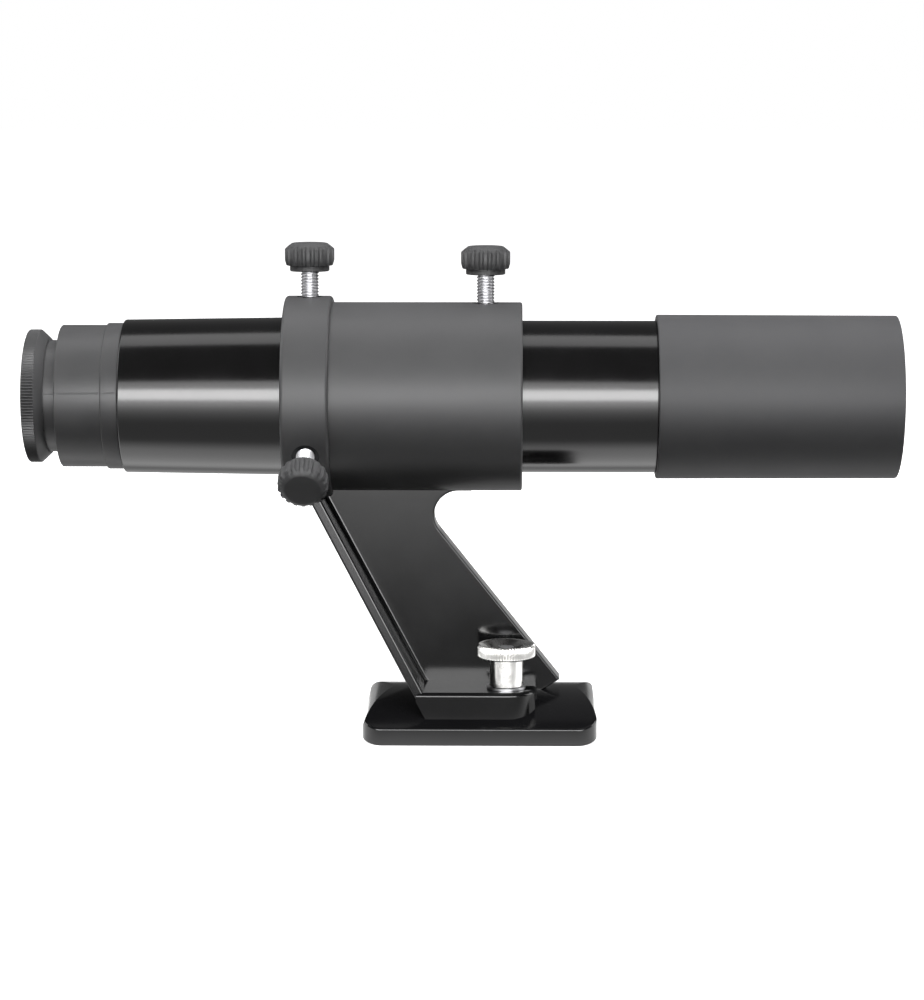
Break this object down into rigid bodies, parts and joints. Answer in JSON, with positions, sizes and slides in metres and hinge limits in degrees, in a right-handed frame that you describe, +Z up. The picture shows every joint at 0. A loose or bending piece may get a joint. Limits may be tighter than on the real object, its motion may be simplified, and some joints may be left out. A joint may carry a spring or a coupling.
{
  "type": "finder scope",
  "caption": "Straight-through finder scope in a ring bracket with adjusting thumbscrews, on a sloping stem, clamped by thumb nuts to a curved saddle base.",
  "frame": {"origin": "top of the saddle's hollow underside, midway between the two screws that hold it to the telescope tube", "axes": "+X along the sight axis towards the objective, +Z up out of the telescope tube, +Y to the far side"},
  "size_m": [0.1914, 0.0626, 0.1082],
  "materials": {
    "collar_black": "gloss",
    "base_black": "gloss",
    "tube_gloss_black": "gloss",
    "shield_satin_black": "satin",
    "cell_black": "black anodised",
    "eyepiece_black": "satin",
    "knob_black": "satin",
    "screw_steel": "zinc plated",
    "nut_nickel": "bright nickel plate",
    "insert_steel": "black oxide",
    "pad_nylon": "natural",
    "lens_glass": "coated",
    "baffle_black": "matt"
  },
  "bodies": {
    "mount": {"bracket": "collar_black", "saddle_base": "base_black", "base_inserts": "insert_steel", "foot_screws": "screw_steel", "collar_inserts": "insert_steel", "seat_pads": "pad_nylon"},
    "scope": {"front_tube": "tube_gloss_black", "tail_tube": "tube_gloss_black", "dew_shield": "shield_satin_black", "objective_cell": "cell_black", "crown_lens": "lens_glass", "flint_lens": "lens_glass", "objective_spacer": "cell_black", "objective_retainer": "cell_black", "front_baffle": "baffle_black", "rear_baffle": "baffle_black", "eyepiece_holder": "eyepiece_black"},
    "eyepiece": {"eyepiece_barrel": "cell_black", "eye_lens": "lens_glass", "field_lens": "lens_glass", "eye_lens_retainer": "cell_black", "eyepiece_spacer": "cell_black", "field_stop": "cell_black", "crosshair_wires": "screw_steel"},
    "focus_ring": {"focus_ring": "eyepiece_black"},
    "rear_top_screw": {"rear_top_screw": "screw_steel"},
    "rear_top_knob": {"rear_top_knob": "knob_black"},
    "rear_near_screw": {"rear_near_screw": "screw_steel"},
    "rear_near_knob": {"rear_near_knob": "knob_black"},
    "rear_far_screw": {"rear_far_screw": "screw_steel"},
    "rear_far_knob": {"rear_far_knob": "knob_black"},
    "front_screw": {"front_screw": "screw_steel"},
    "front_knob": {"front_knob": "knob_black"},
    "near_washer": {"near_washer": "screw_steel"},
    "near_thumb_nut": {"near_thumb_nut": "nut_nickel"},
    "far_washer": {"far_washer": "screw_steel"},
    "far_thumb_nut": {"far_thumb_nut": "nut_nickel"}
  },
  "joints": [
    {"name": "tilt", "type": "hinge", "parent": "mount", "child": "scope", "pos_m": [0.0011, 0, 0.07076], "axis": [0, 1, 0], "range_deg": [-1.5, 1.5]},
    {"name": "rear_top_travel", "type": "slide", "parent": "mount", "child": "rear_top_screw", "axis": [0, 0, 1], "range_m": [-0.00103, 0.00103]},
    {"name": "rear_top_turn", "type": "hinge", "parent": "rear_top_screw", "child": "rear_top_knob", "pos_m": [-0.0376, 0, 0.07076], "axis": [0, 0, 1], "range_deg": [-541.9, 541.9]},
    {"name": "rear_near_travel", "type": "slide", "parent": "mount", "child": "rear_near_screw", "axis": [0, -0.866, -0.5], "range_m": [-0.00052, 0.00052]},
    {"name": "rear_near_turn", "type": "hinge", "parent": "rear_near_screw", "child": "rear_near_knob", "pos_m": [-0.0376, 0, 0.07076], "axis": [0, -0.866, -0.5], "range_deg": [-271.2, 271.2]},
    {"name": "rear_far_travel", "type": "slide", "parent": "mount", "child": "rear_far_screw", "axis": [0, 0.866, -0.5], "range_m": [-0.00052, 0.00052]},
    {"name": "rear_far_turn", "type": "hinge", "parent": "rear_far_screw", "child": "rear_far_knob", "pos_m": [-0.0376, 0, 0.07076], "axis": [0, 0.866, -0.5], "range_deg": [-271.2, 271.2]},
    {"name": "front_travel", "type": "slide", "parent": "mount", "child": "front_screw", "axis": [0, 0, 1], "range_m": [0, 0.004]},
    {"name": "front_turn", "type": "hinge", "parent": "front_screw", "child": "front_knob", "pos_m": [0.0011, 0, 0.07076], "axis": [0, 0, 1], "range_deg": [0, 2098.3]},
    {"name": "focus_travel", "type": "slide", "parent": "scope", "child": "eyepiece", "axis": [-1, 0, 0], "range_m": [-0.0018, 0.0018]},
    {"name": "focus_turn", "type": "hinge", "parent": "eyepiece", "child": "focus_ring", "pos_m": [-0.097, 0, 0.07076], "axis": [-1, 0, 0], "range_deg": [-660, 660]},
    {"name": "near_nut_travel", "type": "slide", "parent": "mount", "child": "near_washer", "axis": [0, 0, 1], "range_m": [0, 0.003]},
    {"name": "near_nut_turn", "type": "hinge", "parent": "near_washer", "child": "near_thumb_nut", "pos_m": [0.0058, -0.0117, 0.01051], "axis": [0, 0, 1], "range_deg": [0, 1573.7]},
    {"name": "far_nut_travel", "type": "slide", "parent": "mount", "child": "far_washer", "axis": [0, 0, 1], "range_m": [0, 0.003]},
    {"name": "far_nut_turn", "type": "hinge", "parent": "far_washer", "child": "far_thumb_nut", "pos_m": [-0.0058, 0.0117, 0.01051], "axis": [0, 0, 1], "range_deg": [0, 1573.7]}
  ],
  "couplings": [
    {"joint": "rear_top_travel", "follows": "tilt", "m_per_rad": 0.0387},
    {"joint": "rear_top_turn", "follows": "tilt", "ratio": 347.37},
    {"joint": "rear_near_travel", "follows": "tilt", "m_per_rad": -0.01935},
    {"joint": "rear_near_turn", "follows": "tilt", "ratio": -173.69},
    {"joint": "rear_far_travel", "follows": "tilt", "m_per_rad": -0.01935},
    {"joint": "rear_far_turn", "follows": "tilt", "ratio": -173.69},
    {"joint": "front_turn", "follows": "front_travel", "rad_per_m": 8976},
    {"joint": "focus_turn", "follows": "focus_travel", "rad_per_m": 6283.2},
    {"joint": "near_nut_turn", "follows": "near_nut_travel", "rad_per_m": 8976},
    {"joint": "far_nut_turn", "follows": "far_nut_travel", "rad_per_m": 8976}
  ]
}
